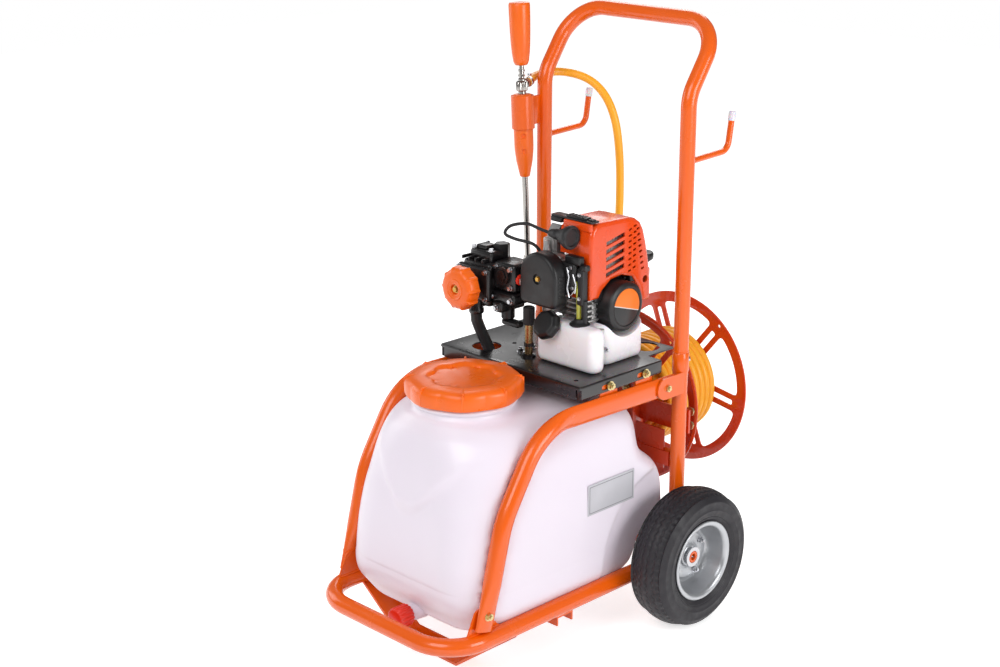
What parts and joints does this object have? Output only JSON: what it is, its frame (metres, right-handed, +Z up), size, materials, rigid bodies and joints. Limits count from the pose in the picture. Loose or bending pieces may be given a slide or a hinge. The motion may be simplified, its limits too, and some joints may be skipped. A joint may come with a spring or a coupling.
{
  "type": "wheeled sprayer cart",
  "caption": "Two-wheeled tubular cart with a liquid tank, engine-driven pump on a tray, hose reel behind and a spray gun in a clip.",
  "frame": {"origin": "on the ground under the middle of the cart's overall length and width", "axes": "+X to the cart's right wheel, +Y to the operator's end with the handle and reel, +Z up"},
  "size_m": [0.505, 0.7876, 0.9745],
  "materials": {
    "frame_coat": "orange powder coat",
    "reel_coat": "red-orange powder coat",
    "cap_plastic": "moulded orange polypropylene",
    "tank_plastic": "blow-moulded natural polyethylene",
    "black_plastic": "moulded black nylon",
    "black_steel": "black coated steel",
    "alloy": "cast",
    "steel": "bright plated",
    "rim_paint": "silver-grey paint",
    "tyre_rubber": "black tyre rubber",
    "rubber": "black rubber",
    "hose": "yellow-orange PVC spray hose",
    "red_plastic": "red moulded plastic",
    "fuel_tube": "clear green-yellow fuel tube"
  },
  "bodies": {
    "cart": {"base_frame": "frame_coat", "front_foot": "frame_coat", "tank_channel": "frame_coat", "axle": "frame_coat", "upright_right": "frame_coat", "upright_left": "frame_coat", "hoop_right": "frame_coat", "hoop_left": "frame_coat", "handle": "frame_coat", "hook_right": "frame_coat", "hook_left": "frame_coat", "gun_sleeve": "frame_coat", "reel_bracket": "reel_coat", "reel_stay": "reel_coat", "engine_shroud": "cap_plastic", "gun_lower_grip": "cap_plastic", "tank": "tank_plastic", "fuel_tank": "tank_plastic", "hook_tip_right": "tank_plastic", "hook_tip_left": "tank_plastic", "tank_strainer": "black_plastic", "starter_housing": "black_plastic", "airbox_cover": "black_plastic", "suction_strainer": "black_plastic", "tray": "black_steel", "muffler": "black_steel", "gearbox": "black_steel", "pump_body": "black_steel", "outlet_cock": "black_steel", "crankcase": "alloy", "cylinder": "alloy", "carburettor": "alloy", "engine_post": "steel", "reel_shaft": "steel", "gun_neck": "steel", "lance": "steel", "hose_elbow": "steel", "plug_boot": "rubber", "throttle_cable": "rubber", "suction_hose": "rubber", "post_bush": "rubber", "spray_hose": "hose", "fuel_line": "fuel_tube"},
    "wheel_right": {"tyre_right": "tyre_rubber", "rim_right": "rim_paint"},
    "wheel_left": {"tyre_left": "tyre_rubber", "rim_left": "rim_paint"},
    "reel": {"reel_flange_front": "reel_coat", "reel_flange_rear": "reel_coat", "reel_drum": "reel_coat", "hose_winding": "hose"},
    "reel_knob": {"reel_knob": "black_plastic"},
    "tank_cap": {"tank_cap": "cap_plastic"},
    "drain_cap": {"drain_cap": "red_plastic"},
    "fuel_cap": {"fuel_cap": "black_plastic"},
    "starter_handle": {"starter_handle": "black_plastic"},
    "choke_knob": {"choke_knob": "red_plastic"},
    "pump_handwheel": {"pump_handwheel": "cap_plastic"},
    "cock_lever": {"cock_lever": "black_plastic"},
    "gun_twist_grip": {"gun_twist_grip": "cap_plastic"}
  },
  "joints": [
    {"name": "wheel_right_spin", "type": "hinge", "parent": "cart", "child": "wheel_right", "pos_m": [0.216, 0.09676, 0.115], "axis": [1, 0, 0], "continuous": true},
    {"name": "wheel_left_spin", "type": "hinge", "parent": "cart", "child": "wheel_left", "pos_m": [-0.216, 0.09676, 0.115], "axis": [1, 0, 0], "continuous": true},
    {"name": "reel_spin", "type": "hinge", "parent": "cart", "child": "reel", "pos_m": [0, 0.18676, 0.318], "axis": [0, 1, 0], "continuous": true},
    {"name": "reel_knob_spin", "type": "hinge", "parent": "reel", "child": "reel_knob", "pos_m": [-0.08936, 0.31876, 0.20765], "axis": [0, 1, 0], "continuous": true},
    {"name": "tank_cap_turn", "type": "hinge", "parent": "cart", "child": "tank_cap", "pos_m": [0, -0.19924, 0.445], "axis": [0, 0, 1], "range_deg": [0, 270]},
    {"name": "drain_cap_turn", "type": "hinge", "parent": "cart", "child": "drain_cap", "pos_m": [0.004, -0.34124, 0.0835], "axis": [0, -1, 0], "range_deg": [0, 270]},
    {"name": "fuel_cap_turn", "type": "hinge", "parent": "cart", "child": "fuel_cap", "pos_m": [0.044, -0.04924, 0.497], "axis": [0, -0.8486, 0.5291], "range_deg": [0, 180]},
    {"name": "starter_pull", "type": "slide", "parent": "cart", "child": "starter_handle", "axis": [0, 0, 1], "range_m": [0, 0.3]},
    {"name": "choke_pull", "type": "slide", "parent": "cart", "child": "choke_knob", "axis": [-1, 0, 0], "range_m": [0, 0.007]},
    {"name": "pump_handwheel_turn", "type": "hinge", "parent": "cart", "child": "pump_handwheel", "pos_m": [-0.095, -0.09524, 0.547], "axis": [0, -1, 0], "range_deg": [-180, 360]},
    {"name": "cock_lever_turn", "type": "hinge", "parent": "cart", "child": "cock_lever", "pos_m": [-0.05, -0.05324, 0.49], "axis": [0, 0, 1], "range_deg": [0, 90]},
    {"name": "gun_grip_twist", "type": "hinge", "parent": "cart", "child": "gun_twist_grip", "pos_m": [-0.16103, 0.08776, 0.87239], "axis": [-0.0523, 0, 0.9986], "range_deg": [0, 270]}
  ]
}
